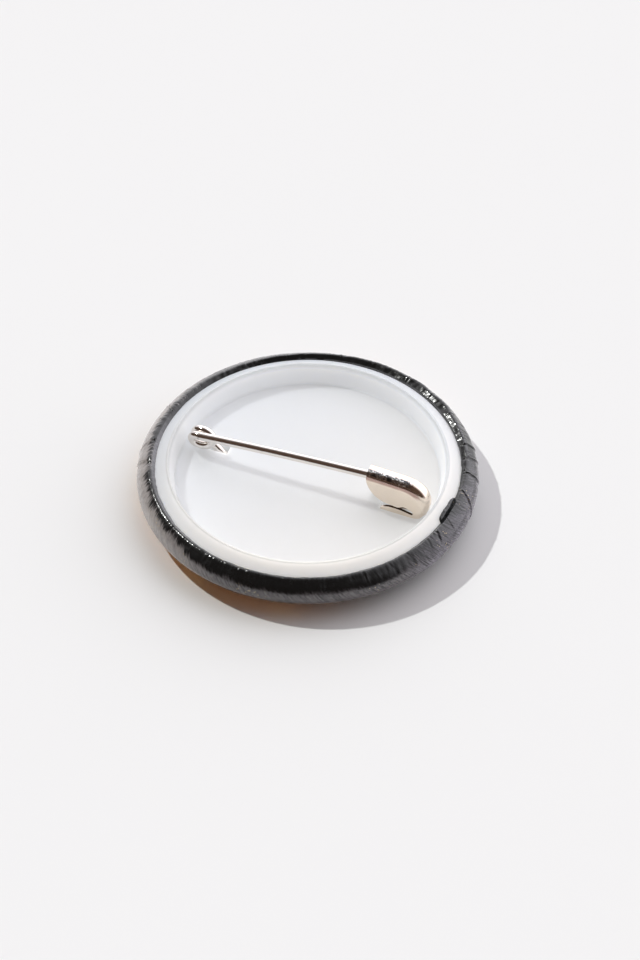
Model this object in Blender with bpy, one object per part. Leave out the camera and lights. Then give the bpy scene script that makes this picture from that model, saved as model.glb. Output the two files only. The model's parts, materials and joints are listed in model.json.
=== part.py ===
"""Pin-back button badge, lying face down: a domed tinplate front under printed paper and clear film,
a snap-in moulded plastic back, and a one-piece spring wire pin with a folded sheet clasp.

Metres, +Z up. The origin is the lowest point of the domed front, on the badge's own axis.
+X runs along the pin, from its coil to its clasp. The clasp opens towards -Y.
"""
from math import atan2, cos, pi, radians, sin, tan

import bmesh
import bpy
from mathutils import Vector

MM = 0.001

# Overall badge
BADGE_DIAMETER = 31.75 * MM
ROLL_RADIUS = 1.30 * MM             # the outer radius of the rolled rim's section
FACE_FLAT_RADIUS = 3.5 * MM         # the flat middle of the domed face
DOME_SLOPE = radians(11.25)         # how steeply the dome meets the rolled rim
ROLL_END = radians(104)             # where the roll stops, just past its crest
ROUND_STEPS = 48
DOME_STEPS = 3
ROLL_STEPS = 8

# Layers of the front, from the outside in
FILM_THICKNESS = 0.10 * MM
PAPER_THICKNESS = 0.12 * MM
TIN_THICKNESS = 0.22 * MM
LAYER_GAP = 0.04 * MM

# Moulded back, heights above or below the crest of the rolled rim
CREST_RISE = 0.66 * MM
CREST_OUTER_RADIUS = 12.92 * MM
CREST_INNER_RADIUS = 12.60 * MM
FLOOR_RADIUS = 12.32 * MM
FLOOR_DROP = 1.50 * MM
FLOOR_THICKNESS = 0.55 * MM
BACK_RADIUS = 14.18 * MM            # where the back meets the rolled rim
FLANGE_RADIUS = 14.95 * MM          # the snap-in lip inside the roll

# Pin wire, heights above the floor of the back
WIRE_RADIUS = 0.40 * MM
WIRE_GAP = 0.08 * MM
COIL_X = -10.42 * MM
COIL_HEIGHT = 1.36 * MM
COIL_HALF_LENGTH = 0.98 * MM        # of the wire's centre line, which is an oval
COIL_HALF_HEIGHT = 0.74 * MM
COIL_STEPS = 26
NEEDLE_Y = -0.70 * MM
ARM_Y = 0.56 * MM
NEEDLE_TIP_X = 9.60 * MM
NEEDLE_TIP_HEIGHT = 3.35 * MM
NEEDLE_BOW = 0.15 * MM
NEEDLE_TAPER = 3.2 * MM
NEEDLE_TIP_SHARE = 0.12             # the tip's radius over the wire's
NEEDLE_STEPS = 22
ARM_DEPTH = 1.00 * MM               # its hidden run, below the floor's top
ARM_END_X = 11.2 * MM
ARM_END_Y = -0.62 * MM
ARM_END_HEIGHT = 0.46 * MM
ARM_STEPS = 26

# Folded clasp, measured from its open end and up from the floor
CLASP_START = (6.30 * MM, -0.50 * MM)
CLASP_TURN = radians(-2.0)          # it sits slightly askew about Z
CLASP_LENGTH = 5.60 * MM
CLASP_WIDTH = 1.85 * MM
CLASP_HEIGHT = 3.95 * MM            # at its open end
CLASP_DIP = 0.15 * MM               # how far its top slopes down towards the nose
CLASP_SHEET = 0.24 * MM
CLASP_NOSE_RADIUS = 2.0 * MM
CLASP_BEND = 0.28 * MM
CLASP_LIFT = 0.04 * MM
MOUTH_LENGTH = 2.4 * MM             # the curved cut-away that lets the needle in
MOUTH_TOP = 3.55 * MM
SLIT_TOP = 0.95 * MM
SLIT_BOTTOM = 0.62 * MM
SLIT_LENGTH = 4.75 * MM
LIP_START = 1.4 * MM

# Slots in the floor that the wire passes through
SLOT_HALF_WIDTH = 0.62 * MM
COIL_SLOT = (-9.90 * MM, -8.10 * MM)
CLASP_SLOT = (7.5 * MM, 10.6 * MM)

ROLL_CENTRE = BADGE_DIAMETER / 2 - ROLL_RADIUS
DOME_SPAN = ROLL_CENTRE + ROLL_RADIUS * sin(DOME_SLOPE) - FACE_FLAT_RADIUS
DOME_RADIUS = DOME_SPAN / sin(DOME_SLOPE)
ROLL_HEIGHT = ROLL_RADIUS * cos(DOME_SLOPE) + DOME_SPAN * tan(DOME_SLOPE / 2)
RIM_TOP = ROLL_HEIGHT + ROLL_RADIUS
FLOOR = RIM_TOP - FLOOR_DROP
CREST = RIM_TOP + CREST_RISE
COIL_CENTRE = Vector((COIL_X, NEEDLE_Y, FLOOR + COIL_HEIGHT))


def clear_scene():
    for old in list(bpy.data.objects):
        bpy.data.objects.remove(old, do_unlink=True)


def make_material(name, colour, roughness, metallic=0.0, alpha=1.0):
    material = bpy.data.materials.new(name)
    material.use_nodes = True
    shader = material.node_tree.nodes["Principled BSDF"]
    shader.inputs["Base Color"].default_value = (*colour, 1.0)
    shader.inputs["Roughness"].default_value = roughness
    shader.inputs["Metallic"].default_value = metallic
    shader.inputs["Alpha"].default_value = alpha
    return material


def add_object(name, data, material=None, parent=None, location=(0, 0, 0)):
    piece = bpy.data.objects.new(name, data)
    bpy.context.scene.collection.objects.link(piece)
    piece.location = location
    if material:
        data.materials.append(material)
    if parent:
        piece.parent = parent
    return piece


def mesh_from(name, shape, smooth_angle=30):
    mesh = bpy.data.meshes.new(name)
    shape.to_mesh(mesh)
    shape.free()
    mesh.shade_smooth()
    mesh.set_sharp_from_angle(angle=radians(smooth_angle))
    return mesh


def turned_mesh(name, profile):
    """A solid of revolution about Z. The profile runs from the edge of its flat underside, outwards
    and up, to the edge of its flat top."""
    shape = bmesh.new()
    rings = []
    for radius, height in profile:
        ring = []
        for step in range(ROUND_STEPS):
            turn = 2 * pi * step / ROUND_STEPS
            ring.append(shape.verts.new((radius * cos(turn), radius * sin(turn), height)))
        rings.append(ring)
    for lower, upper in zip(rings, rings[1:]):
        for step in range(ROUND_STEPS):
            after = (step + 1) % ROUND_STEPS
            shape.faces.new((lower[step], lower[after], upper[after], upper[step]))
    shape.faces.new(reversed(rings[0]))
    shape.faces.new(rings[-1])
    return mesh_from(name, shape)


def face_line(depth):
    """The front's section at a depth below its outer surface: flat middle, dome, rolled rim."""
    line = []
    for step in range(DOME_STEPS + 1):
        slope = DOME_SLOPE * step / DOME_STEPS
        radius = FACE_FLAT_RADIUS + (DOME_RADIUS - depth) * sin(slope)
        line.append((radius, DOME_RADIUS - (DOME_RADIUS - depth) * cos(slope)))
    first = DOME_SLOPE - pi / 2
    for step in range(1, ROLL_STEPS + 1):
        turn = first + (ROLL_END - first) * step / ROLL_STEPS
        radius = ROLL_CENTRE + (ROLL_RADIUS - depth) * cos(turn)
        line.append((radius, ROLL_HEIGHT + (ROLL_RADIUS - depth) * sin(turn)))
    return line


def build_front_layers():
    layers = [
        ("clear_film", FILM_THICKNESS, make_material("clear_film", (0.02, 0.025, 0.03), 0.12)),
        ("artwork_disc", PAPER_THICKNESS, make_material("artwork_disc", (0.03, 0.03, 0.035), 0.6)),
        ("front_shell", TIN_THICKNESS, make_material("front_shell", (0.72, 0.72, 0.70), 0.3, 1.0)),
    ]
    depth = 0.0
    for name, thickness, material in layers:
        profile = face_line(depth) + face_line(depth + thickness)[::-1]
        add_object(name, turned_mesh(name, profile), material)
        depth += thickness + LAYER_GAP


def prism_mesh(name, outline, low_y, high_y):
    """A solid with a side outline in X and Z, between two Y positions."""
    shape = bmesh.new()
    near = [shape.verts.new((x, low_y, z)) for x, z in outline]
    far = [shape.verts.new((x, high_y, z)) for x, z in outline]
    shape.faces.new(near)
    shape.faces.new(reversed(far))
    for index in range(len(outline)):
        after = (index + 1) % len(outline)
        shape.faces.new((near[index], far[index], far[after], near[after]))
    bmesh.ops.recalc_face_normals(shape, faces=shape.faces)
    return mesh_from(name, shape)


def box_outline(low_x, high_x, low_z, high_z):
    return [(low_x, low_z), (high_x, low_z), (high_x, high_z), (low_x, high_z)]


def add_cutter(name, mesh, parent=None):
    cutter = add_object(name, mesh, parent=parent)
    cutter.hide_render = True
    cutter.display_type = "WIRE"
    return cutter


def cut(piece, cutter):
    boolean = piece.modifiers.new(cutter.name, "BOOLEAN")
    boolean.operation = "DIFFERENCE"
    boolean.solver = "EXACT"
    boolean.object = cutter


def build_plastic_back():
    under = FLOOR - FLOOR_THICKNESS
    profile = [
        (CREST_INNER_RADIUS, under),
        (FLANGE_RADIUS - 0.3 * MM, ROLL_HEIGHT - 0.34 * MM),
        (FLANGE_RADIUS, ROLL_HEIGHT - 0.15 * MM),
        (FLANGE_RADIUS, ROLL_HEIGHT + 0.20 * MM),
        (BACK_RADIUS, ROLL_HEIGHT + 0.55 * MM),
        (BACK_RADIUS, RIM_TOP - 0.12 * MM),
        (BACK_RADIUS - 0.12 * MM, RIM_TOP),
        (CREST_OUTER_RADIUS, CREST - 0.03 * MM),
        (CREST_OUTER_RADIUS - 0.04 * MM, CREST),
        (CREST_INNER_RADIUS, CREST),
        (CREST_INNER_RADIUS - 0.06 * MM, CREST - 0.08 * MM),
        (FLOOR_RADIUS + 0.05 * MM, FLOOR + 0.12 * MM),
        (FLOOR_RADIUS - 0.07 * MM, FLOOR),
    ]
    white = make_material("plastic_back", (0.85, 0.86, 0.88), 0.3)
    back = add_object("plastic_back", turned_mesh("plastic_back", profile), white)
    slots = [("coil_slot", COIL_SLOT, ARM_Y), ("clasp_slot", CLASP_SLOT, ARM_END_Y)]
    for name, (low_x, high_x), middle in slots:
        outline = box_outline(low_x, high_x, under - MM, FLOOR + MM)
        walls = prism_mesh(name, outline, middle - SLOT_HALF_WIDTH, middle + SLOT_HALF_WIDTH)
        cut(back, add_cutter(name, walls))


def add_wire(name, points, radii, material, parent=None, origin=Vector()):
    """A round wire through the points, which are given in the badge's frame."""
    curve = bpy.data.curves.new(name, "CURVE")
    curve.dimensions = "3D"
    curve.bevel_depth = WIRE_RADIUS
    curve.bevel_resolution = 2
    curve.use_fill_caps = True
    spline = curve.splines.new("POLY")
    spline.points.add(len(points) - 1)
    for knot, point, radius in zip(spline.points, points, radii):
        knot.co = (*(point - origin), 1.0)
        knot.radius = radius
    spline.use_smooth = True
    return add_object(name, curve, material, parent)


def needle_height(x):
    """The bowed needle's centre line above the floor."""
    share = (x - COIL_X) / (NEEDLE_TIP_X - COIL_X)
    coil_top = COIL_HEIGHT + COIL_HALF_HEIGHT
    straight = coil_top + (NEEDLE_TIP_HEIGHT - coil_top) * share
    return straight + 4 * NEEDLE_BOW * share * (1 - share)


def smooth_step(share):
    share = min(max(share, 0.0), 1.0)
    return share * share * (3 - 2 * share)


def blend_between(x, start_x, end_x, start_value, end_value):
    return start_value + (end_value - start_value) * smooth_step((x - start_x) / (end_x - start_x))


def coil_line():
    """One and a half turns about Y, from the needle's tangent down to the fixed arm's."""
    rise = (needle_height(COIL_X + MM) - needle_height(COIL_X)) / MM
    first = pi / 2 + atan2(rise, 1.0)
    last = 3 * pi / 2 + 2 * pi
    points = []
    for step in range(COIL_STEPS + 1):
        share = step / COIL_STEPS
        turn = first + (last - first) * share
        across = (ARM_Y - NEEDLE_Y) * share
        offset = Vector((COIL_HALF_LENGTH * cos(turn), across, COIL_HALF_HEIGHT * sin(turn)))
        points.append(COIL_CENTRE + offset)
    return points


def needle_line(coil_top):
    start_x = coil_top.x + WIRE_GAP
    points = []
    radii = []
    for step in range(NEEDLE_STEPS + 1):
        x = start_x + (NEEDLE_TIP_X - start_x) * step / NEEDLE_STEPS
        points.append(Vector((x, NEEDLE_Y, FLOOR + needle_height(x))))
        to_tip = min(max(NEEDLE_TIP_X - x, 0.0) / NEEDLE_TAPER, 1.0)
        radii.append(NEEDLE_TIP_SHARE + (1 - NEEDLE_TIP_SHARE) * to_tip ** 0.8)
    return points, radii


def arm_line(coil_bottom):
    """Down through the coil slot, along under the floor, and up through the clasp slot."""
    start_x = coil_bottom.x + WIRE_GAP
    start_height = coil_bottom.z - FLOOR
    points = []
    for step in range(ARM_STEPS + 1):
        x = start_x + (ARM_END_X - start_x) * step / ARM_STEPS
        down = blend_between(x, start_x, COIL_SLOT[1], start_height, -ARM_DEPTH)
        up = blend_between(x, CLASP_SLOT[0], ARM_END_X - MM, 0.0, ARM_END_HEIGHT + ARM_DEPTH)
        y = blend_between(x, COIL_SLOT[1], CLASP_SLOT[0], ARM_Y, ARM_END_Y)
        points.append(Vector((x, y, FLOOR + down + up)))
    return points


def build_pin():
    steel = make_material("nickel_wire", (0.78, 0.76, 0.73), 0.16, 1.0)
    press_pivot = add_object("needle_press_pivot", None, location=COIL_CENTRE)
    side_pivot = add_object("needle_side_pivot", None, parent=press_pivot)
    coil = coil_line()
    needle, needle_radii = needle_line(coil[0])
    arm = arm_line(coil[-1])
    add_wire("spring_coil", coil, [1.0] * len(coil), steel, press_pivot, COIL_CENTRE)
    add_wire("needle", needle, needle_radii, steel, side_pivot, COIL_CENTRE)
    add_wire("fixed_arm", arm, [1.0] * len(arm), steel)


def clasp_outline(inset, overshoot):
    """The clasp's side view, set in by its sheet's thickness for the hollow, which runs on past the
    open end and the open underside by the overshoot."""
    nose = CLASP_NOSE_RADIUS - inset
    corner_x = CLASP_LENGTH - CLASP_NOSE_RADIUS
    corner_z = CLASP_HEIGHT - CLASP_DIP - CLASP_NOSE_RADIUS
    outline = [(-overshoot, CLASP_LIFT - overshoot), (CLASP_LENGTH - inset, CLASP_LIFT - overshoot)]
    for step in range(7):
        turn = pi / 2 * step / 6
        outline.append((corner_x + nose * cos(turn), corner_z + nose * sin(turn)))
    outline.append((-overshoot, CLASP_HEIGHT - inset))
    return outline


def mouth_outline():
    """What is cut from the near wall: the curved mouth at the open end, and the slit beyond it."""
    outline = [(-MM, -MM), (-MM, MOUTH_TOP)]
    for step in range(8):
        turn = pi + pi / 2 * step / 7
        x = MOUTH_LENGTH * (1 + cos(turn))
        outline.append((x, MOUTH_TOP + (MOUTH_TOP - SLIT_TOP) * sin(turn)))
    slit_middle = (SLIT_TOP + SLIT_BOTTOM) / 2
    outline.append((SLIT_LENGTH - 0.2 * MM, SLIT_TOP))
    outline.append((SLIT_LENGTH, slit_middle))
    outline.append((SLIT_LENGTH - 0.2 * MM, SLIT_BOTTOM))
    outline.append((LIP_START + 0.8 * MM, SLIT_BOTTOM))
    outline.append((LIP_START, 0.2 * MM))
    outline.append((LIP_START, -MM))
    return outline


def bevel_sheet_bends(clasp):
    """Round the long edges where the sheet folds over from the top into the two walls."""
    mesh = clasp.data
    weights = mesh.attributes.new("bevel_weight_edge", "FLOAT", "EDGE")
    for edge in mesh.edges:
        start, end = (mesh.vertices[index].co for index in edge.vertices)
        on_one_wall = abs(start.y - end.y) < 0.1 * MM
        above_floor = min(start.z, end.z) > MM
        weights.data[edge.index].value = 1.0 if on_one_wall and above_floor else 0.0
    bends = clasp.modifiers.new("bends", "BEVEL")
    bends.width = CLASP_BEND
    bends.segments = 2
    bends.limit_method = "WEIGHT"


def build_clasp():
    plated = make_material("clasp_plate", (0.80, 0.78, 0.75), 0.2, 1.0)
    frame = add_object("clasp_frame", None, location=(*CLASP_START, FLOOR))
    frame.rotation_euler.z = CLASP_TURN
    outer_y = CLASP_WIDTH / 2
    inner_y = outer_y - CLASP_SHEET
    body = prism_mesh("clasp_cap", clasp_outline(0.0, 0.0), -outer_y, outer_y)
    hollow = prism_mesh("clasp_hollow", clasp_outline(CLASP_SHEET, MM), -inner_y, inner_y)
    mouth = prism_mesh("clasp_mouth", mouth_outline(), -outer_y - MM, -inner_y / 2)
    clasp = add_object("clasp_cap", body, plated, frame)
    bevel_sheet_bends(clasp)
    cut(clasp, add_cutter("clasp_hollow", hollow, frame))
    cut(clasp, add_cutter("clasp_mouth", mouth, frame))


clear_scene()
build_front_layers()
build_plastic_back()
build_pin()
build_clasp()
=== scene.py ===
"""The looks of a pin-back button badge, which lies face down on a pale table.

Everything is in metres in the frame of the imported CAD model: +Z up, the origin at the lowest point of
the domed front on the badge's axis, +X along the pin from its coil to its clasp.
"""
import json
import random
from math import atan2, cos, exp, pi, radians, sin, sqrt, tan

import bmesh
import bpy
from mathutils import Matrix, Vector, noise


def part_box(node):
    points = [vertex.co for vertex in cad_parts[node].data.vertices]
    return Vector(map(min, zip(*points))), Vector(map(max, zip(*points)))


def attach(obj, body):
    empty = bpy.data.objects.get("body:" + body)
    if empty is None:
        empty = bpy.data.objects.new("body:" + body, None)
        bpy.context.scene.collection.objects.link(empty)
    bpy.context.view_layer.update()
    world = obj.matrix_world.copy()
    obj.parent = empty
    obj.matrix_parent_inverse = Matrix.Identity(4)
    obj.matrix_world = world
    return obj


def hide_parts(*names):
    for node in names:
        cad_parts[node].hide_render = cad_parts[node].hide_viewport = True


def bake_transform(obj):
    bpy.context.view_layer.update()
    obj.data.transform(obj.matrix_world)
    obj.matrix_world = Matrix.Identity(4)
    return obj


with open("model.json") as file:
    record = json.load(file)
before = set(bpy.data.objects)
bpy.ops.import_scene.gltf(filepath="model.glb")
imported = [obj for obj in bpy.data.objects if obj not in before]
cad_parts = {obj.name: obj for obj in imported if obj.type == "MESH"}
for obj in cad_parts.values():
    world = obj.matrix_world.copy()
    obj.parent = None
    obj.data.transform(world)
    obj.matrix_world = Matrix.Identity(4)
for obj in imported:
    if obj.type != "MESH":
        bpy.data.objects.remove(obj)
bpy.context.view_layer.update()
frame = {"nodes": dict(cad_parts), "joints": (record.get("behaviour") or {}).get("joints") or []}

MM = 0.001
_, film_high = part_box("clear_film")
_, back_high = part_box("plastic_back")
lift_axis = Vector(frame["joints"][0]["pos_m"])

# The front's section, as the CAD has it: a flat middle, a dome and a rolled rim
BADGE_RADIUS = film_high.x
ROLL_RADIUS = 1.30 * MM
FACE_FLAT_RADIUS = 3.5 * MM
DOME_SLOPE = radians(11.25)
ROLL_END = radians(104)
ROLL_CENTRE = BADGE_RADIUS - ROLL_RADIUS
DOME_SPAN = ROLL_CENTRE + ROLL_RADIUS * sin(DOME_SLOPE) - FACE_FLAT_RADIUS
DOME_RADIUS = DOME_SPAN / sin(DOME_SLOPE)
ROLL_HEIGHT = ROLL_RADIUS * cos(DOME_SLOPE) + DOME_SPAN * tan(DOME_SLOPE / 2)
RIM_TOP = ROLL_HEIGHT + ROLL_RADIUS
FILM_THICKNESS = 0.10 * MM

# The moulded back
CREST = back_high.z
FLOOR = RIM_TOP - 1.50 * MM
FLOOR_THICKNESS = 0.55 * MM
CREST_OUTER_RADIUS = 13.04 * MM
CREST_INNER_RADIUS = 12.91 * MM
FLOOR_RADIUS = 12.32 * MM
BACK_RADIUS = 14.18 * MM
FLANGE_RADIUS = 14.95 * MM
# a painted glow: the plastic emits light, though it is no lamp, for the light that gets through its thin
# walls
PLASTIC_GLOW = 0.36

# The pin
WIRE_RADIUS = 0.40 * MM
COIL_HALF_LENGTH = 0.98 * MM
COIL_HALF_HEIGHT = 0.74 * MM
NEEDLE_Y = lift_axis.y
ARM_Y = 0.56 * MM
NEEDLE_TIP_X = 9.60 * MM
NEEDLE_TIP_HEIGHT = 3.35 * MM
NEEDLE_BOW = 0.15 * MM
NEEDLE_TAPER = 3.2 * MM
ARM_DEPTH = 1.00 * MM
ARM_END_X = 11.2 * MM
ARM_END_Y = -0.62 * MM
ARM_END_HEIGHT = 0.46 * MM
COIL_SLOT = (-9.90 * MM, -8.10 * MM)
CLASP_SLOT = (7.5 * MM, 10.6 * MM)
SLOT_HALF_WIDTH = 0.62 * MM

# The clasp, measured from its open end and up from the floor
CLASP_START = Vector((6.30 * MM, -0.50 * MM, FLOOR))
CLASP_TURN = radians(-2.0)
CLASP_LENGTH = 5.60 * MM
CLASP_WIDTH = 1.85 * MM
CLASP_HEIGHT = 3.95 * MM
CLASP_DIP = 0.15 * MM
CLASP_SHEET = 0.24 * MM
CLASP_NOSE_RADIUS = 2.1 * MM
CLASP_NOSE_BULGE = 1.00 * MM
CLASP_NOSE_TUCK = 0.05 * MM
CLASP_BEND = 0.72 * MM
CLASP_BEND_DEPTH = 1.45
CLASP_HOLLOW_BEND = 0.34 * MM
CLASP_LIFT = 0.04 * MM
MOUTH_LENGTH = 2.4 * MM
MOUTH_TOP = 3.55 * MM
SLIT_TOP = 0.95 * MM
SLIT_BOTTOM = 0.62 * MM
SLIT_LENGTH = 4.75 * MM
LIP_START = 1.4 * MM

# The film's print, with painted reflection and painted sunlight in it: turns about the badge's axis from its
# coil-to-clasp line, and plain numbers in mm
PALE_TURN = radians(183)
GREY_TURN = radians(-4)
BLACK_END = 0.52                    # below the rim's top, where the black starts to give way to grey
GREY_FULL = 0.86
STREAK_REACH = 0.26                 # how far streaks, drifts and the pale side move that border
DRIFT_REACH = 0.16
PALE_REACH = 0.70
FIELD_START = 1.72                  # above the table, where the front's own print takes over
FIELD_FULL = 1.36
GATHERS = 95.0                      # noise cells round the rim, over two pi
GATHER_LEAN = 0.05                  # radians for each mm of height

# The film's folds
CRUMPLED_TURN = radians(62)
CRUMPLED_SPREAD = 0.65              # radians, for its fine creases
LOOSE_SPREAD = 0.7                  # radians, for its loose lip
LOOSE_LIP_DROP = radians(17)
LOOSE_LIP_RISE = 0.06 * MM
AROUND = 1150
PLEAT_TURN = radians(-3.0)          # where a fold of the film stands out over the back
PLEAT_HALF = 1.75 * MM
PLEAT_LENGTH = 0.46 * MM
PLEAT_RISE = 0.24 * MM
LIP_ANGLE = radians(91)             # where the film folds over at the top of the roll
LIP_RISE = 0.20 * MM
LIP_SPREAD = radians(18)
ROLL_RINGS = 56
FILM_EDGE_RADIUS = 14.24 * MM
CROSS_FOLDS = (31, 24, 16.5, 7.5, 172, 189, 200)    # degrees
GATHER_START = radians(-12)         # round the roll, from level

# The photograph's view
CAMERA_AZIMUTH = radians(21.4)
CAMERA_ELEVATION = radians(45.5)
CAMERA_DISTANCE = 350 * MM
CAMERA_LENS = 141.8
SENSOR = 36.0
VIEW_RIGHT = 1.141 * MM
VIEW_DOWN = 1.400 * MM

# Light
SUN_FROM = Vector((-0.884, 0.201, 1.0))
SUN_STRENGTH = 1.64
SUN_SIZE = radians(2.0)
SUN_COLOUR = (1.0, 1.01, 0.985)
SKY_DARK = (0.080, 0.052, 0.040)
SKY_BRIGHT = (2.02, 1.98, 2.08)
SKY_TURN = radians(50)              # where the sky is brightest, from the camera's right towards beyond


# ---------------------------------------------------------------- shapes

def add_piece(name, mesh, material, body="badge"):
    piece = bpy.data.objects.new(name, mesh)
    bpy.context.scene.collection.objects.link(piece)
    mesh.materials.append(material)
    if body:
        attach(piece, body)
    return piece


def finish_mesh(name, shape, smooth_angle=40):
    bmesh.ops.recalc_face_normals(shape, faces=shape.faces)
    mesh = bpy.data.meshes.new(name)
    shape.to_mesh(mesh)
    shape.free()
    mesh.shade_smooth()
    mesh.set_sharp_from_angle(angle=radians(smooth_angle))
    return mesh


def smooth_step(share):
    share = min(max(share, 0.0), 1.0)
    return share * share * (3 - 2 * share)


def blend_between(x, start_x, end_x, start_value, end_value):
    return start_value + (end_value - start_value) * smooth_step((x - start_x) / (end_x - start_x))


def rounded_line(corners, steps=6):
    """The corners of an open outline, each given with a radius, as a line with its corners rounded."""
    points = [Vector(corners[0][:2])]
    for before, corner, after in zip(corners, corners[1:], corners[2:]):
        middle = Vector(corner[:2])
        back = (Vector(before[:2]) - middle)
        ahead = (Vector(after[:2]) - middle)
        reach = min(corner[2], 0.45 * back.length, 0.45 * ahead.length)
        if reach <= 0:
            points.append(middle)
            continue
        start = middle + back.normalized() * reach
        end = middle + ahead.normalized() * reach
        for step in range(steps + 1):
            share = step / steps
            one = start.lerp(middle, share)
            two = middle.lerp(end, share)
            points.append(one.lerp(two, share))
    points.append(Vector(corners[-1][:2]))
    return points


def grid_rings(shape, rings, closed_ends=True):
    """Faces between rings of vertices, with a fan to the middle of the first and last ring."""
    count = len(rings[0])
    for lower, upper in zip(rings, rings[1:]):
        for step in range(count):
            after = (step + 1) % count
            shape.faces.new((lower[step], lower[after], upper[after], upper[step]))
    if closed_ends:
        for ring, flip in ((rings[0], True), (rings[-1], False)):
            middle = sum((vertex.co for vertex in ring), Vector()) / count
            centre = shape.verts.new(middle)
            for step in range(count):
                after = (step + 1) % count
                face = (ring[after], ring[step], centre) if flip else (ring[step], ring[after], centre)
                shape.faces.new(face)


def turned_mesh(name, profile, steps, smooth_angle=40):
    shape = bmesh.new()
    rings = []
    for radius, height in profile:
        ring = []
        for step in range(steps):
            turn = 2 * pi * step / steps
            ring.append(shape.verts.new((radius * cos(turn), radius * sin(turn), height)))
        rings.append(ring)
    for lower, upper in zip(rings, rings[1:]):
        for step in range(steps):
            after = (step + 1) % steps
            shape.faces.new((lower[step], lower[after], upper[after], upper[step]))
    shape.faces.new(reversed(rings[0]))
    shape.faces.new(rings[-1])
    return finish_mesh(name, shape, smooth_angle)


def tube_mesh(name, centres, radii, sides=28):
    """A round wire along its centre line, closed at each end by a flat fan."""
    shape = bmesh.new()
    rings = []
    side = None
    last = len(centres) - 1
    for index, (centre, radius) in enumerate(zip(centres, radii)):
        along = (centres[min(index + 1, last)] - centres[max(index - 1, 0)]).normalized()
        if side is None:
            side = along.orthogonal().normalized()
        side = (side - along * side.dot(along)).normalized()
        other = along.cross(side)
        ring = []
        for step in range(sides):
            turn = 2 * pi * step / sides
            ring.append(shape.verts.new(centre + (side * cos(turn) + other * sin(turn)) * radius))
        rings.append(ring)
    grid_rings(shape, rings)
    return finish_mesh(name, shape, 60)


def with_round_ends(centres, radii, start=True, end=True, steps=5):
    """Adds shrinking rings at the chosen ends of a wire, so that they are domed and not cut flat."""
    centres = list(centres)
    radii = list(radii)
    for wanted, first, second in ((start, 0, 1), (end, -1, -2)):
        if not wanted:
            continue
        outward = (centres[first] - centres[second]).normalized()
        tip = centres[first]
        size = radii[first]
        for step in range(1, steps + 1):
            turn = pi / 2 * step / (steps + 0.4)
            centre = tip + outward * size * 0.45 * sin(turn)
            radius = size * cos(turn)
            if first == 0:
                centres.insert(0, centre)
                radii.insert(0, radius)
            else:
                centres.append(centre)
                radii.append(radius)
    return centres, radii


# ---------------------------------------------------------------- materials

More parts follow.
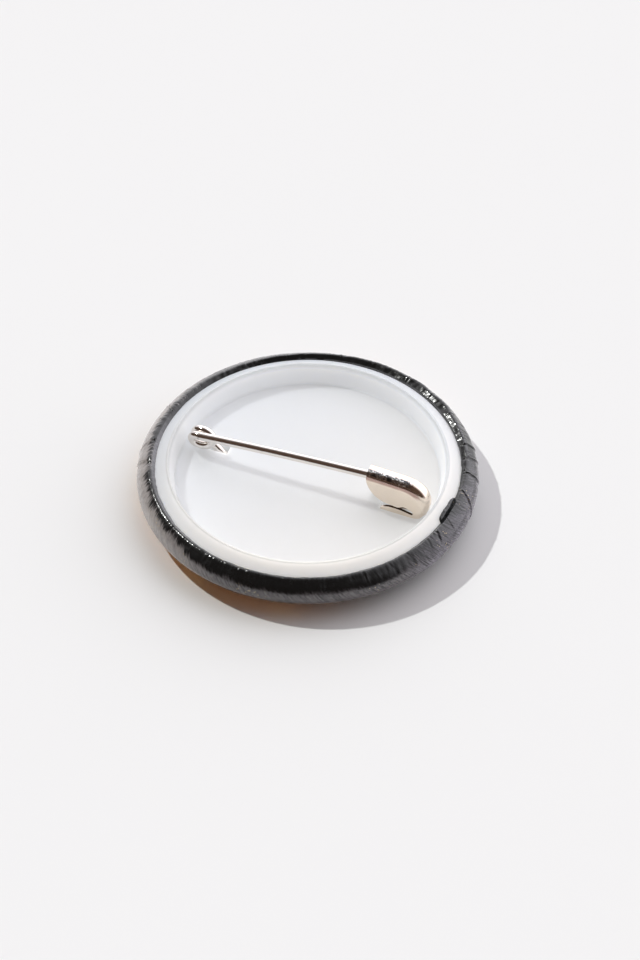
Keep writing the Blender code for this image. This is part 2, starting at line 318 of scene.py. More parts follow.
class Nodes:
    """Builds one material's nodes in short lines."""

    def __init__(self, name):
        self.material = bpy.data.materials.new(name)
        self.material.use_nodes = True
        self.tree = self.material.node_tree
        self.shader = self.tree.nodes["Principled BSDF"]
        coordinates = self.tree.nodes.new("ShaderNodeTexCoord")
        scale = self.tree.nodes.new("ShaderNodeVectorMath")
        scale.operation = "MULTIPLY"
        scale.inputs[1].default_value = (1 / MM, 1 / MM, 1 / MM)
        self.tree.links.new(coordinates.outputs["Object"], scale.inputs[0])
        self.place = scale.outputs[0]

    def set(self, **values):
        for socket, value in values.items():
            self.shader.inputs[socket.replace("_", " ")].default_value = value
        return self

    def link(self, source, target):
        self.tree.links.new(source, target)

    def feed(self, socket, source):
        self.tree.links.new(source, self.shader.inputs[socket])

    def math(self, operation, first, second=0.0, third=0.0, clamp=False):
        node = self.tree.nodes.new("ShaderNodeMath")
        node.operation = operation
        node.use_clamp = clamp
        for socket, value in zip(node.inputs, (first, second, third)):
            if isinstance(value, (int, float)):
                socket.default_value = value
            else:
                self.link(value, socket)
        return node.outputs[0]

    def vector(self, operation, first, second=None):
        node = self.tree.nodes.new("ShaderNodeVectorMath")
        node.operation = operation
        for socket, value in zip(node.inputs, (first, second)):
            if value is None:
                continue
            if isinstance(value, tuple):
                socket.default_value = value
            else:
                self.link(value, socket)
        return node.outputs[0]

    def noise(self, scale, detail=3.0, roughness=0.5, place=None, distortion=0.0):
        node = self.tree.nodes.new("ShaderNodeTexNoise")
        node.inputs["Scale"].default_value = scale
        node.inputs["Detail"].default_value = detail
        node.inputs["Roughness"].default_value = roughness
        node.inputs["Distortion"].default_value = distortion
        self.link(place or self.place, node.inputs["Vector"])
        return node.outputs["Fac"]

    def cells(self, scale, output="Distance"):
        node = self.tree.nodes.new("ShaderNodeTexVoronoi")
        node.inputs["Scale"].default_value = scale
        self.link(self.place, node.inputs["Vector"])
        return node.outputs[output]

    def ramp(self, source, stops):
        node = self.tree.nodes.new("ShaderNodeValToRGB")
        ramp = node.color_ramp
        while len(ramp.elements) < len(stops):
            ramp.elements.new(0.5)
        for element, (position, colour) in zip(ramp.elements, stops):
            element.position = position
            element.color = (*colour, 1.0)
        self.link(source, node.inputs[0])
        return node.outputs["Color"]

    def span(self, source, low, high, to_low=0.0, to_high=1.0, smooth=False):
        node = self.tree.nodes.new("ShaderNodeMapRange")
        node.interpolation_type = "SMOOTHSTEP" if smooth else "LINEAR"
        for socket, value in zip(node.inputs[1:5], (low, high, to_low, to_high)):
            socket.default_value = value
        self.link(source, node.inputs[0])
        return node.outputs[0]

    def mix(self, share, first, second):
        node = self.tree.nodes.new("ShaderNodeMix")
        node.data_type = "RGBA"
        for socket, value in ((node.inputs[0], share), (node.inputs[6], first), (node.inputs[7], second)):
            if isinstance(value, (int, float)):
                socket.default_value = value
            elif isinstance(value, tuple):
                socket.default_value = (*value, 1.0)
            else:
                self.link(value, socket)
        return node.outputs[2]

    def level(self):
        """The place with its height left out."""
        return self.vector("MULTIPLY", self.place, (1.0, 1.0, 0.0))

    def along(self, source, turn):
        node = self.tree.nodes.new("ShaderNodeVectorMath")
        node.operation = "DOT_PRODUCT"
        self.link(source, node.inputs[0])
        node.inputs[1].default_value = (cos(turn), sin(turn), 0.0)
        return node.outputs["Value"]

    def length(self, source):
        node = self.tree.nodes.new("ShaderNodeVectorMath")
        node.operation = "LENGTH"
        self.link(source, node.inputs[0])
        return node.outputs["Value"]

    def turned(self, source, turn):
        node = self.tree.nodes.new("ShaderNodeVectorRotate")
        node.rotation_type = "Z_AXIS"
        self.link(source, node.inputs["Vector"])
        self.link(turn, node.inputs["Angle"])
        return node.outputs[0]

    def parts(self, source):
        node = self.tree.nodes.new("ShaderNodeSeparateXYZ")
        self.link(source, node.inputs[0])
        return node.outputs[0], node.outputs[1], node.outputs[2]

    def bump(self, height, strength, depth):
        node = self.tree.nodes.new("ShaderNodeBump")
        node.inputs["Strength"].default_value = strength
        node.inputs["Distance"].default_value = depth
        self.link(height, node.inputs["Height"])
        self.feed("Normal", node.outputs[0])


def film_material():
    """Clear gloss film over a dark print: near black over the top of the rim, grey with gold flecks on its
    outer side and pale where it turns to the left. The black and grey are partly print and partly painted
    reflection: black where the rim faces the dark sky on the camera's side, grey where it faces the bright
    table and, on the right, the bright sky. The pale left side is painted sunlight, on the side that faces
    the sun. The front has a marbled copper field with dark drifts, and is dark towards the clasp. The film
    is drawn into fine gathers that lean a little."""
    nodes = Nodes("film_over_print")
    _, _, z = nodes.parts(nodes.place)
    top = RIM_TOP / MM
    flat = nodes.vector("NORMALIZE", nodes.level())
    # painted sunlight: on the side facing the sun the grey reaches higher and is paler
    left = nodes.span(nodes.along(flat, PALE_TURN), 0.05, 0.95, smooth=True)
    painted_sunlit_side = nodes.span(nodes.along(flat, PALE_TURN + 0.3), 0.45, 0.95, smooth=True)
    # painted light: the strip inside the fold is grey towards the near left, where it faces the bright sky
    painted_lit_strip = nodes.span(nodes.along(flat, PALE_TURN + 0.55), 0.72, 0.93, smooth=True)
    # painted reflection: on the right the grey reaches up to the rim's top, where the rim faces the bright
    # sky
    right = nodes.span(nodes.along(flat, GREY_TURN), 0.83, 0.985, smooth=True)

    leaning = nodes.turned(flat, nodes.math("MULTIPLY", z, GATHER_LEAN))
    leaning = nodes.vector("MULTIPLY", leaning, (GATHERS, GATHERS, 0.0))
    slid = nodes.vector("MULTIPLY", nodes.place, (0.0, 0.0, 0.45))
    streaks = nodes.noise(1.0, 4.0, 0.65, place=nodes.vector("ADD", leaning, slid))
    fine = nodes.noise(6.0, 4.0, 0.65)
    broad = nodes.noise(0.40, 2.0)

    # the height at which black gives way to grey, uneven along the rim: partly print and partly a painted
    # reflection of the line between the dark sky and the bright table
    edge = nodes.math("ADD", z, nodes.span(streaks, 0.3, 0.7, -STREAK_REACH, STREAK_REACH))
    edge = nodes.math("ADD", edge, nodes.span(broad, 0.3, 0.7, -DRIFT_REACH, DRIFT_REACH))
    edge = nodes.math("SUBTRACT", edge, nodes.math("MULTIPLY", left, PALE_REACH))
    torn = nodes.span(streaks, 0.35, 0.65, 1.15, 0.05)
    edge = nodes.math("SUBTRACT", edge, nodes.math("MULTIPLY", right, torn))
    outer = nodes.span(edge, top - BLACK_END, top - GREY_FULL, smooth=True)

    black = nodes.mix(streaks, (0.002, 0.003, 0.003), (0.012, 0.014, 0.015))
    grey = nodes.mix(painted_sunlit_side, (0.18, 0.172, 0.178), (0.47, 0.44, 0.42))
    # painted reflection on the right: its grey is lighter lower down
    low_down = nodes.span(z, top - 0.3, top - 1.5, smooth=True)
    grey = nodes.mix(right, grey, nodes.mix(low_down, (0.13, 0.122, 0.145), (0.27, 0.252, 0.30)))
    dim = nodes.mix(painted_sunlit_side, (0.055, 0.052, 0.056), (0.33, 0.31, 0.31))
    dim = nodes.mix(right, dim, (0.035, 0.033, 0.040))
    tone = nodes.math("MULTIPLY_ADD", fine, 0.25, nodes.math("MULTIPLY", streaks, 0.75))
    grey = nodes.mix(nodes.span(tone, 0.40, 0.56), dim, grey)
    rim = nodes.mix(outer, black, grey)

    # the strip between the fold at the rim's top and the plastic: black, and painted grey towards the near
    # left where it faces the bright sky
    film_edge = FILM_EDGE_RADIUS / MM
    tucked = nodes.span(nodes.length(nodes.level()), film_edge + 0.24, film_edge + 0.14, smooth=True)
    inner = nodes.mix(streaks, (0.03, 0.031, 0.035), (0.26, 0.26, 0.28))
    rim = nodes.mix(tucked, rim, nodes.mix(painted_lit_strip, black, inner))

    fleck_field = nodes.span(nodes.noise(0.30, 2.0), 0.50, 0.64, smooth=True)
    fleck = nodes.math("MULTIPLY", nodes.span(nodes.cells(3.4), 0.24, 0.10), fleck_field, clamp=True)
    rim = nodes.mix(nodes.math("MULTIPLY", fleck, outer, clamp=True), rim, (0.66, 0.54, 0.33))

    field = nodes.ramp(nodes.noise(0.55, 5.0, 0.6, distortion=0.6),
                       [(0.28, (0.060, 0.022, 0.012)), (0.40, (0.56, 0.20, 0.055)),
                        (0.52, (0.95, 0.46, 0.13)), (0.60, (0.92, 0.60, 0.24)),
                        (0.74, (0.34, 0.12, 0.035))])
    dark_side = nodes.span(nodes.along(nodes.place, GREY_TURN), 3.0, 12.5, smooth=True)
    field = nodes.mix(dark_side, field, nodes.mix(fine, (0.020, 0.018, 0.022), (0.060, 0.055, 0.066)))
    nodes.feed("Base Color", nodes.mix(nodes.span(z, FIELD_START, FIELD_FULL, smooth=True), rim, field))
    nodes.feed("Roughness", nodes.span(nodes.noise(1.6, 3.0), 0.3, 0.7, 0.14, 0.30))
    nodes.bump(streaks, 0.5, 0.03 * MM)
    return nodes.set(Specular_IOR_Level=0.45, Coat_Weight=0.4, Coat_Roughness=0.06).material


def plastic_material():
    """Milky moulded plastic: glossy and translucent, with faint flow marks. Its tint is painted light, a
    little bluer on one side and warmer on the other, and lighter or darker by side on the wall and ridge. A
    faint painted glow stands in for the light that gets through its thin walls."""
    nodes = Nodes("milky_plastic")
    warm = nodes.span(nodes.along(nodes.place, radians(-30)), -14.0, 14.0, smooth=True)
    near = nodes.span(nodes.along(nodes.place, radians(-95)), -13.0, 13.0, smooth=True)
    bright = nodes.span(nodes.along(nodes.place, radians(-50)), -14.0, 14.0, smooth=True)

    # zones from the middle out, each with its own tint: floor, wall, ledge and the ring between those two;
    # the floor, wall and ring tints carry painted light and shade, and the ledge is darker towards the far
    # left
    radius = nodes.length(nodes.level())
    floor_end, crest_start, crest_end = FLOOR_RADIUS / MM, CREST_INNER_RADIUS / MM, CREST_OUTER_RADIUS / MM
    wall = nodes.span(radius, floor_end - 0.15, floor_end + 0.05, smooth=True)
    ledge = nodes.span(radius, crest_start - 0.05, crest_end, smooth=True)
    from_crest = nodes.math("ABSOLUTE", nodes.math("SUBTRACT", radius, 0.5 * (crest_start + crest_end)))
    ridge = nodes.span(from_crest, 0.24, 0.08, smooth=True)
    # painted light: bluer towards the far left, where the dish is in shade, warmer towards the near right,
    # where the sun falls
    tint = nodes.mix(warm, (0.455, 0.475, 0.500), (0.485, 0.480, 0.465))
    # painted light: the wall is lighter on the far side, where it is in shade, than on the near side
    tint = nodes.mix(wall, tint, nodes.mix(near, (0.62, 0.645, 0.68), (0.37, 0.365, 0.355)))
    tint = nodes.mix(ledge, tint, nodes.mix(bright, (0.26, 0.285, 0.32), (0.58, 0.57, 0.55)))
    # painted shade: the ridge is darker, most on the near side, to tone down its highlight
    tint = nodes.mix(ridge, tint, nodes.mix(near, (0.27, 0.29, 0.315), (0.20, 0.197, 0.193)))

    cloud = nodes.math("MULTIPLY", nodes.noise(0.16, 2.0, 0.5), 0.06)
    nodes.feed("Base Color", nodes.mix(cloud, tint, (0.80, 0.80, 0.80)))
    nodes.feed("Roughness", nodes.span(nodes.noise(0.35, 2.0), 0.3, 0.7, 0.38, 0.46))
    nodes.bump(nodes.noise(0.45, 2.0, 0.4), 0.05, 0.05 * MM)
    nodes.set(Specular_IOR_Level=0.35, Subsurface_Weight=1.0, Subsurface_Radius=(1.0, 0.95, 0.85),
              Subsurface_Scale=2.0 * MM)
    # painted glow
    return nodes.set(Emission_Color=(0.975, 0.985, 1.0, 1.0), Emission_Strength=PLASTIC_GLOW).material


def nickel_material(name, colour, low, high, bent=False):
    """Bright nickel plate, fine-grained, with the clasp's own marks and its painted reflection and shade
    added if it is the bent sheet.
    """
    nodes = Nodes(name)
    tint = nodes.mix(nodes.noise(1.1, 3.0), tuple(0.93 * c for c in colour), colour)
    stretched = nodes.vector("MULTIPLY", nodes.place, (0.35, 1.0, 1.0))
    grain = nodes.math("MULTIPLY", nodes.noise(16.0, 3.0, 0.6, place=stretched), 0.25)
    if bent:
        tint, grain = clasp_marks_and_painted_light(nodes, tint, grain)
    nodes.feed("Base Color", tint)
    nodes.feed("Roughness", nodes.span(nodes.noise(6.0, 4.0, 0.6), 0.3, 0.7, low, high))
    nodes.bump(grain, 1.0, 0.006 * MM)
    return nodes.set(Metallic=1.0).material


def clasp_marks_and_painted_light(nodes, tint, grain):
    """The clasp is pebbled along its bent near edge, where its dark and pale speckle is painted reflection
    of the dark sky over a real pebbled bump. It is brownish below that, and painted darker and brown inside,
    as shade and reflection in the hollow.
    """
    local = nodes.vector("SUBTRACT", nodes.place, tuple(part / MM for part in CLASP_START))
    run = nodes.along(local, CLASP_TURN)
    across = nodes.along(local, CLASP_TURN + pi / 2)
    _, _, z = nodes.parts(local)
    top = CLASP_HEIGHT / MM
    near_wall = -0.5 * CLASP_WIDTH / MM
    bend_start = near_wall + CLASP_BEND / MM

    below = nodes.math("MULTIPLY", nodes.span(across, bend_start - 0.52, bend_start - 0.58, smooth=True),
                       nodes.span(across, near_wall + 0.015, near_wall + 0.045))
    below = nodes.math("MULTIPLY", below, nodes.span(z, top - 1.5, top - 1.1))
    tint = nodes.mix(below, tint, (0.50, 0.36, 0.31))

    strip = nodes.math("MULTIPLY", nodes.span(across, bend_start + 0.08, bend_start - 0.02, smooth=True),
                       nodes.span(across, bend_start - 0.54, bend_start - 0.46, smooth=True))
    high_up = nodes.span(z, top - 0.60, top - 0.45)
    before_nose = nodes.span(run, 4.75, 3.9, smooth=True)
    strip = nodes.math("MULTIPLY", strip, nodes.math("MULTIPLY", high_up, before_nose))
    # painted reflection: the bend's strip is speckled dark and pale, over a real pebbled bump
    pebbles = nodes.noise(3.6, 3.0, 0.6)
    shade = nodes.span(pebbles, 0.40, 0.60)
    tint = nodes.mix(strip, tint, nodes.mix(shade, (0.10, 0.10, 0.105), (0.80, 0.80, 0.80)))
    raised = nodes.math("MULTIPLY", nodes.math("SUBTRACT", pebbles, 0.5), strip)
    grain = nodes.math("MULTIPLY_ADD", raised, 14.0, grain)

    # painted shade and reflection: the inner faces of the hollow are darker and brown
    inner_wall = (0.5 * CLASP_WIDTH - CLASP_SHEET) / MM
    inside = nodes.span(nodes.math("ABSOLUTE", across), inner_wall + 0.03, inner_wall + 0.01)
    inside = nodes.math("MULTIPLY", inside, nodes.span(run, 5.0, 4.8))
    inside = nodes.math("MULTIPLY", inside, nodes.span(z, top - 1.1, top - 1.3))
    return nodes.mix(inside, tint, (0.30, 0.20, 0.15)), grain


def paper_material():
    nodes = Nodes("printed_paper")
    fibres = nodes.noise(14.0, 4.0, 0.7)
    nodes.feed("Base Color", nodes.mix(fibres, (0.02, 0.022, 0.024), (0.07, 0.07, 0.07)))
    nodes.bump(fibres, 0.3, 0.01 * MM)
    return nodes.set(Roughness=0.8).material


def tin_material():
    nodes = Nodes("tinplate")
    spangle = nodes.cells(0.8, output="Color")
    nodes.feed("Base Color", nodes.mix(nodes.noise(4.0, 3.0), (0.55, 0.55, 0.54), (0.74, 0.74, 0.72)))
    nodes.feed("Roughness", nodes.span(spangle, 0.0, 1.0, 0.22, 0.42))
    return nodes.set(Metallic=1.0).material


# ---------------------------------------------------------------- the front's film

def angle_between(turn, other):
    return (turn - other + pi) % (2 * pi) - pi


def ridged(value):
    return 1 - 2 * abs(value)


def make_creases():
    """Where the gathered film folds over itself: turn, half width, depth, how far down, and its lean."""
    chance = random.Random(7)
    creases = []
    for _ in range(64):
        creases.append((chance.uniform(-pi, pi), chance.uniform(0.05, 0.16) * MM,
                        chance.uniform(0.012, 0.040) * MM, radians(chance.uniform(10, 70)),
                        chance.uniform(-0.05, 0.05)))
    for fold in CROSS_FOLDS:
        creases.append((radians(fold), 0.065 * MM, 0.11 * MM, radians(chance.uniform(-30, 0)),
                        chance.uniform(-0.06, 0.06)))
    for _ in range(14):
        creases.append((radians(chance.uniform(20, 75)), chance.uniform(0.05, 0.08) * MM,
                        chance.uniform(0.04, 0.07) * MM, radians(chance.uniform(30, 70)),
                        chance.uniform(-0.03, 0.03)))
    return creases


def film_relief(turn, angle, creases):
    """How far the film stands out from its smooth rolled shape at a place on the rim."""
    gather = smooth_step((angle - GATHER_START) / radians(70))
    away = Vector((cos(turn), sin(turn), 0.0))
    fine = ridged(noise.noise(away * 38 + Vector((0, 0, 0.6 * angle))))
    middle = ridged(noise.noise(away * 15 + Vector((5, 0, 0.5 * angle))))
    broad = noise.noise(away * 4.5 + Vector((0, 9, 0.4 * angle)))
    crumpled = 0.013 + 0.022 * exp(-(angle_between(turn, CRUMPLED_TURN) / CRUMPLED_SPREAD) ** 2)
    relief = gather * (crumpled * fine + 0.020 * middle) * MM + (0.3 + gather) * 0.016 * MM * broad
    for where, half, depth, end, lean in creases:
        off = angle_between(turn, where + lean * (angle - pi / 2)) * BADGE_RADIUS
        if abs(off) > 5 * half:
            continue
        reach = smooth_step((angle - end) / radians(30))
        valley = exp(-(off / half) ** 2)
        lip = exp(-((off - 1.7 * half) / (1.4 * half)) ** 2)
        relief += depth * reach * (0.7 * lip - valley)
    return relief


def build_film(material):
    """The film follows the roll to its top, folds there into a narrow lip, and slopes in to the back."""
    creases = make_creases()
    first = DOME_SLOPE - pi / 2
    ledge = Vector((CREST_OUTER_RADIUS - BACK_RADIUS + 0.12 * MM, CREST - 0.03 * MM - RIM_TOP)).normalized()
    shape = bmesh.new()
    columns = []
    for step in range(AROUND):
        turn = 2 * pi * step / AROUND
        away = Vector((cos(turn), sin(turn), 0.0))
        line = []
        for index in range(6):
            slope = DOME_SLOPE * index / 5
            line.append((FACE_FLAT_RADIUS + DOME_RADIUS * sin(slope), DOME_RADIUS * (1 - cos(slope))))
        loose = exp(-(angle_between(turn, CRUMPLED_TURN) / LOOSE_SPREAD) ** 2)
        lip = LIP_ANGLE - LOOSE_LIP_DROP * loose + radians(3 + 4 * loose) * noise.noise(away * 9)
        lip_rise = LIP_RISE + LOOSE_LIP_RISE * loose
        for index in range(1, ROLL_RINGS + 1):
            angle = first + (lip - first) * (index / ROLL_RINGS) ** 0.72
            raised = lip_rise * exp(-((angle - lip) / LIP_SPREAD) ** 2)
            reach = ROLL_RADIUS + film_relief(turn, angle, creases) + raised
            line.append((ROLL_CENTRE + reach * cos(angle), ROLL_HEIGHT + reach * sin(angle)))
        fold = Vector(line[-1])
        wave = 0.05 * noise.noise(away * 6) + 0.05 * noise.noise(away * 19) + 0.03 * noise.noise(away * 45)
        wide = 0.14 * MM * exp(-(angle_between(turn, PALE_TURN) / 0.5) ** 2)
        end = Vector((FILM_EDGE_RADIUS - wide - wave * MM, RIM_TOP - 0.07 * MM + 0.3 * wide))
        puckered = (0.018 + 0.065 * loose) * MM
        for index in range(1, 5):
            share = index / 4
            point = fold.lerp(end, share)
            point.y += puckered * sin(pi * share) * noise.noise(away * 30 + Vector((0, 0, 2 * share)))
            line.append(tuple(point))
        off = angle_between(turn, PLEAT_TURN) * ROLL_CENTRE / PLEAT_HALF
        pleat = sqrt(max(0.0, 1 - off ** 4)) * (1 - 0.20 * off)
        tail = 0.02 * MM + PLEAT_LENGTH * pleat
        for index in range(1, 6):
            share = index / 5
            point = end + ledge * tail * share
            point.y += PLEAT_RISE * pleat * sin(pi * min(share, 0.82)) * (1 + 0.3 * noise.noise(away * 40))
            line.append(tuple(point))
        tip = Vector(line[-1])
        line.append((tip.x - 0.01 * MM, tip.y - 0.035 * MM))
        line.append((end.x + 0.03 * MM, end.y - 0.05 * MM))
        for index in range(5):
            angle = ROLL_END + (first - ROLL_END) * index / 4
            reach = ROLL_RADIUS - FILM_THICKNESS
            line.append((ROLL_CENTRE + reach * cos(angle), ROLL_HEIGHT + reach * sin(angle)))
        for index in range(3):
            slope = DOME_SLOPE * (1 - (index + 1) / 3)
            reach = DOME_RADIUS - FILM_THICKNESS
            line.append((FACE_FLAT_RADIUS + reach * sin(slope), DOME_RADIUS - reach * cos(slope)))
        columns.append([shape.verts.new((r * cos(turn), r * sin(turn), z)) for r, z in line])
    rings = [[column[index] for column in columns] for index in range(len(columns[0]))]
    grid_rings(shape, rings)
    film = add_piece("film_skin", finish_mesh("film_skin", shape, 70), material)
    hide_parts("clear_film")


# ---------------------------------------------------------------- the moulded back

def prism_mesh(name, outline, low_y, high_y):
    shape = bmesh.new()
    near = [shape.verts.new((x, low_y, z)) for x, z in outline]
    far = [shape.verts.new((x, high_y, z)) for x, z in outline]
    shape.faces.new(near)
    shape.faces.new(reversed(far))
    for index in range(len(outline)):
        after = (index + 1) % len(outline)
        shape.faces.new((near[index], far[index], far[after], near[after]))
    return finish_mesh(name, shape)


def apply_modifiers(piece):
    graph = bpy.context.evaluated_depsgraph_get()
    mesh = bpy.data.meshes.new_from_object(piece.evaluated_get(graph))
    piece.modifiers.clear()
    piece.data = mesh


def cut(piece, mesh):
    cutter = bpy.data.objects.new(mesh.name, mesh)
    bpy.context.scene.collection.objects.link(cutter)
    boolean = piece.modifiers.new(mesh.name, "BOOLEAN")
    boolean.operation = "DIFFERENCE"
    boolean.solver = "EXACT"
    boolean.object = cutter
    bpy.context.view_layer.update()
    apply_modifiers(piece)
    bpy.data.objects.remove(cutter, do_unlink=True)


def build_back(material):
    under = FLOOR - FLOOR_THICKNESS
    profile = rounded_line([
        (FLOOR_RADIUS - 4 * MM, 0.95 * MM, 0),
        (CREST_INNER_RADIUS, 1.35 * MM, 0),
        (FLANGE_RADIUS - 0.3 * MM, ROLL_HEIGHT - 0.34 * MM, 0.1 * MM),
        (FLANGE_RADIUS, ROLL_HEIGHT - 0.15 * MM, 0.1 * MM),
        (FLANGE_RADIUS, ROLL_HEIGHT + 0.20 * MM, 0.1 * MM),
        (BACK_RADIUS, ROLL_HEIGHT + 0.55 * MM, 0.1 * MM),
        (BACK_RADIUS, RIM_TOP - 0.12 * MM, 0.05 * MM),
        (BACK_RADIUS - 0.12 * MM, RIM_TOP, 0.06 * MM),
        (CREST_OUTER_RADIUS, CREST - 0.03 * MM, 0.12 * MM),
        (CREST_OUTER_RADIUS - 0.04 * MM, CREST, 0.02 * MM),
        (CREST_INNER_RADIUS, CREST, 0.09 * MM),
        (FLOOR_RADIUS + 0.05 * MM, FLOOR + 0.12 * MM, 0.10 * MM),
        (FLOOR_RADIUS - 0.10 * MM, FLOOR, 0.16 * MM),
        (FLOOR_RADIUS - 1.2 * MM, FLOOR, 0),
    ])
    back = add_piece("moulded_back", turned_mesh("moulded_back", profile, 288, 35), material,
                     None)
    for low_x, high_x, middle in ((*COIL_SLOT, ARM_Y), (*CLASP_SLOT, ARM_END_Y)):
        outline = [(low_x, under - MM), (high_x, under - MM), (high_x, FLOOR + MM), (low_x, FLOOR + MM)]
        cut(back, prism_mesh("slot", outline, middle - SLOT_HALF_WIDTH, middle + SLOT_HALF_WIDTH))
    back.data.set_sharp_from_angle(angle=radians(35))
    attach(back, "badge")
    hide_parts("plastic_back")


# ---------------------------------------------------------------- the pin wire

def needle_height(x):
    share = (x - lift_axis.x) / (NEEDLE_TIP_X - lift_axis.x)
    coil_top = lift_axis.z - FLOOR + COIL_HALF_HEIGHT
    straight = coil_top + (NEEDLE_TIP_HEIGHT - coil_top) * share
    return FLOOR + straight + 4 * NEEDLE_BOW * share * (1 - share)


def coil_line(steps=110):
    rise = (needle_height(lift_axis.x + MM) - needle_height(lift_axis.x)) / MM
    first = pi / 2 + atan2(rise, 1.0)
    last = 3 * pi / 2 + 2 * pi
    points = []
    for step in range(steps + 1):
        share = step / steps
        turn = first + (last - first) * share
        across = (ARM_Y - NEEDLE_Y) * share
        points.append(lift_axis + Vector((COIL_HALF_LENGTH * cos(turn), across,
                                          COIL_HALF_HEIGHT * sin(turn))))
    return points


def needle_line(start_x, steps=90):
    points = []
    radii = []
    for step in range(steps + 1):
        x = start_x + (NEEDLE_TIP_X - start_x) * step / steps
        points.append(Vector((x, NEEDLE_Y, needle_height(x))))
        to_tip = min(max(NEEDLE_TIP_X - x, 0.0) / NEEDLE_TAPER, 1.0)
        radii.append(WIRE_RADIUS * (0.08 + 0.92 * to_tip ** 0.8))
    return points, radii


def arm_line(start, steps=90):
    points = []
    for step in range(steps + 1):
        x = start.x + (ARM_END_X - start.x) * step / steps
        down = blend_between(x, start.x, COIL_SLOT[1], start.z - FLOOR, -ARM_DEPTH)
        up = blend_between(x, CLASP_SLOT[0], ARM_END_X - MM, 0.0, ARM_END_HEIGHT + ARM_DEPTH)
        y = blend_between(x, COIL_SLOT[1], CLASP_SLOT[0], ARM_Y, ARM_END_Y)
        points.append(Vector((x, y, FLOOR + down + up)))
    return points


def build_pin(material):
    coil = coil_line()
    coil_piece = add_piece("coil_wire", tube_mesh("coil_wire", coil, [WIRE_RADIUS] * len(coil)),
                           material, None)
    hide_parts("spring_coil")
    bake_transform(coil_piece)
    centres, radii = needle_line(coil[0].x)
    needle = add_piece("needle_wire", tube_mesh("needle_wire", centres, radii), material,
                       None)
    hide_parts("needle")
    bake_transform(needle)
    arm = arm_line(coil[-1])
    centres, radii = with_round_ends(arm, [WIRE_RADIUS] * len(arm), start=False)
    arm_piece = add_piece("fixed_wire", tube_mesh("fixed_wire", centres, radii), material)
    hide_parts("fixed_arm")


# ---------------------------------------------------------------- the clasp

def clasp_outline(inset, overshoot, steps=22):
    """The clasp's side view: a flat top that runs over a round nose, which bulges out, down to the floor."""
    top = CLASP_HEIGHT - inset
    start = Vector((CLASP_LENGTH - CLASP_NOSE_TUCK - inset, CLASP_LIFT - overshoot))
    low = Vector((CLASP_LENGTH + CLASP_NOSE_BULGE - inset, 0.42 * CLASP_HEIGHT))
    high = Vector((CLASP_LENGTH + 0.45 * CLASP_NOSE_BULGE - inset, top - CLASP_DIP))
    end = Vector((CLASP_LENGTH - CLASP_NOSE_RADIUS, top - 0.4 * CLASP_DIP))
    outline = [(-overshoot, CLASP_LIFT - overshoot)]
    for step in range(steps + 1):
        share = step / steps
        one, two, three = start.lerp(low, share), low.lerp(high, share), high.lerp(end, share)
        outline.append(tuple(one.lerp(two, share).lerp(two.lerp(three, share), share)))
    outline.append((-overshoot, top))
    return outline


def mouth_outline(steps=24):
    """What is cut from the near wall: the curved mouth at the open end, and the slit beyond it."""
    outline = [(-MM, -MM), (-MM, MOUTH_TOP)]
    for step in range(steps + 1):
        turn = pi + pi / 2 * step / steps
        outline.append((MOUTH_LENGTH * (1 + cos(turn)), MOUTH_TOP + (MOUTH_TOP - SLIT_TOP) * sin(turn)))
    humps = rounded_line([
        (MOUTH_LENGTH, SLIT_TOP, 0),
        (MOUTH_LENGTH + 0.85 * MM, SLIT_TOP - 0.12 * MM, 0.4 * MM),
        (MOUTH_LENGTH + 1.35 * MM, SLIT_TOP + 0.22 * MM, 0.4 * MM),
        (SLIT_LENGTH - 0.35 * MM, SLIT_TOP + 0.04 * MM, 0.4 * MM),
        (SLIT_LENGTH, SLIT_TOP - 0.24 * MM, 0.15 * MM),
        (SLIT_LENGTH - 0.10 * MM, SLIT_BOTTOM - 0.22 * MM, 0.1 * MM),
        (SLIT_LENGTH - 1.05 * MM, SLIT_BOTTOM - 0.02 * MM, 0.4 * MM),
        (MOUTH_LENGTH + 0.75 * MM, SLIT_BOTTOM + 0.02 * MM, 0.3 * MM),
        (LIP_START + 0.75 * MM, SLIT_BOTTOM, 0.3 * MM),
        (LIP_START + 0.05 * MM, 0.22 * MM, 0.2 * MM),
        (LIP_START, -MM, 0),
    ])
    return outline + [tuple(point) for point in humps[1:]]


def bent_mesh(name, half_width, inset, overshoot, bend, steps=9):
    """A closed body of the clasp's outline whose long edges are bent round, deeper than they are wide."""
    layers = []
    for side in (-1, 1):
        for step in range(steps + 1):
            turn = pi / 2 * (step if side > 0 else steps - step) / steps
            layers.append((side * (half_width - bend * (1 - sin(turn))),
                           clasp_outline(inset + CLASP_BEND_DEPTH * bend * (1 - cos(turn)), overshoot)))
    shape = bmesh.new()
    rings = [[shape.verts.new((x, y, z)) for x, z in outline] for y, outline in layers]
    for lower, upper in zip(rings, rings[1:]):
        for index in range(len(lower)):
            after = (index + 1) % len(lower)
            shape.faces.new((lower[index], lower[after], upper[after], upper[index]))
    shape.faces.new(reversed(rings[0]))
    shape.faces.new(rings[-1])
    return finish_mesh(name, shape)


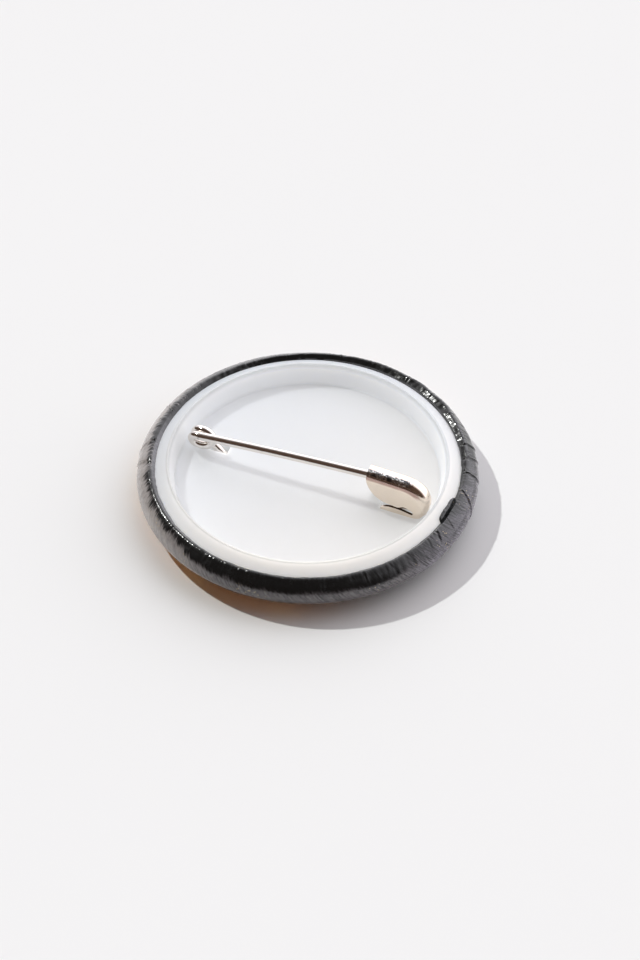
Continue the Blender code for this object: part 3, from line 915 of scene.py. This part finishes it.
def build_clasp(material):
    outer_y = CLASP_WIDTH / 2
    inner_y = outer_y - CLASP_SHEET
    clasp = add_piece("clasp_sheet", bent_mesh("clasp_sheet", outer_y, 0.0, 0.0, CLASP_BEND), material,
                      None)
    cut(clasp, bent_mesh("hollow", inner_y, CLASP_SHEET, MM, CLASP_HOLLOW_BEND))
    cut(clasp, prism_mesh("mouth", mouth_outline(), -outer_y - MM, -inner_y / 2))
    clasp.data.shade_smooth()
    clasp.data.set_sharp_from_angle(angle=radians(30))
    for vertex in clasp.data.vertices:
        x, y, z = vertex.co
        vertex.co = (CLASP_START.x + x * cos(CLASP_TURN) - y * sin(CLASP_TURN),
                     CLASP_START.y + x * sin(CLASP_TURN) + y * cos(CLASP_TURN), CLASP_START.z + z)
    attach(clasp, "badge")
    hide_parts("clasp_cap")


# ---------------------------------------------------------------- light, table and camera

def add_sun():
    """Hard light from the camera's left and a little beyond the badge."""
    data = bpy.data.lights.new("sun", "SUN")
    data.energy = SUN_STRENGTH
    data.angle = SUN_SIZE
    data.color = SUN_COLOUR
    sun = bpy.data.objects.new("sun", data)
    bpy.context.scene.collection.objects.link(sun)
    sun.rotation_euler = SUN_FROM.to_track_quat("Z", "Y").to_euler()


def build_world():
    """Soft light, bright beyond the badge on the right and dark on the camera's side."""
    world = bpy.data.worlds.new("studio")
    bpy.context.scene.world = world
    world.use_nodes = True
    tree = world.node_tree
    turn = CAMERA_AZIMUTH + SKY_TURN
    along = tree.nodes.new("ShaderNodeVectorMath")
    along.operation = "DOT_PRODUCT"
    along.inputs[1].default_value = (cos(turn), sin(turn), 0.0)
    tree.links.new(tree.nodes.new("ShaderNodeTexCoord").outputs["Generated"], along.inputs[0])
    share = tree.nodes.new("ShaderNodeMapRange")
    share.interpolation_type = "SMOOTHSTEP"
    share.inputs["From Min"].default_value = -0.15
    share.inputs["From Max"].default_value = 0.8
    tree.links.new(along.outputs["Value"], share.inputs["Value"])
    sky = tree.nodes.new("ShaderNodeMix")
    sky.data_type = "RGBA"
    sky.inputs[6].default_value = (*SKY_DARK, 1.0)
    sky.inputs[7].default_value = (*SKY_BRIGHT, 1.0)
    tree.links.new(share.outputs["Result"], sky.inputs[0])
    tree.links.new(sky.outputs[2], tree.nodes["Background"].inputs["Color"])


def build_table():
    """A matt off-white table."""
    mesh = bpy.data.meshes.new("table")
    shape = bmesh.new()
    bmesh.ops.create_grid(shape, x_segments=8, y_segments=8, size=1.5)
    shape.to_mesh(mesh)
    shape.free()
    nodes = Nodes("table_white")
    nodes.feed("Base Color", nodes.mix(nodes.noise(0.02, 2.0), (0.860, 0.873, 0.870), (0.870, 0.883, 0.880)))
    table = add_piece("table", mesh, nodes.set(Roughness=0.85, Specular_IOR_Level=0.1).material, None)


def build_camera():
    """The camera looks at the rim's height, with the badge a little left of and above the middle."""
    out = Vector((sin(CAMERA_AZIMUTH) * cos(CAMERA_ELEVATION),
                  -cos(CAMERA_AZIMUTH) * cos(CAMERA_ELEVATION), sin(CAMERA_ELEVATION)))
    right = Vector((cos(CAMERA_AZIMUTH), sin(CAMERA_AZIMUTH), 0.0))
    up = out.cross(right)
    target = Vector((0, 0, RIM_TOP)) + right * VIEW_RIGHT - up * VIEW_DOWN
    data = bpy.data.cameras.new("camera")
    data.lens = CAMERA_LENS
    data.sensor_width = SENSOR
    camera = bpy.data.objects.new("camera", data)
    bpy.context.scene.collection.objects.link(camera)
    camera.location = target + out * CAMERA_DISTANCE
    camera.rotation_euler = out.to_track_quat("Z", "Y").to_euler()
    bpy.context.scene.camera = camera


bpy.context.scene.view_settings.view_transform = "Standard"
build_camera()
add_sun()
build_world()
build_table()
build_film(film_material())
for node, material in (("artwork_disc", paper_material()), ("front_shell", tin_material())):
    frame["nodes"][node].data.materials.clear()
    frame["nodes"][node].data.materials.append(material)
build_back(plastic_material())
wire = nickel_material("nickel_wire", (0.88, 0.84, 0.80), 0.10, 0.20)
build_pin(wire)
build_clasp(nickel_material("nickel_sheet", (0.94, 0.83, 0.71), 0.12, 0.22, bent=True))
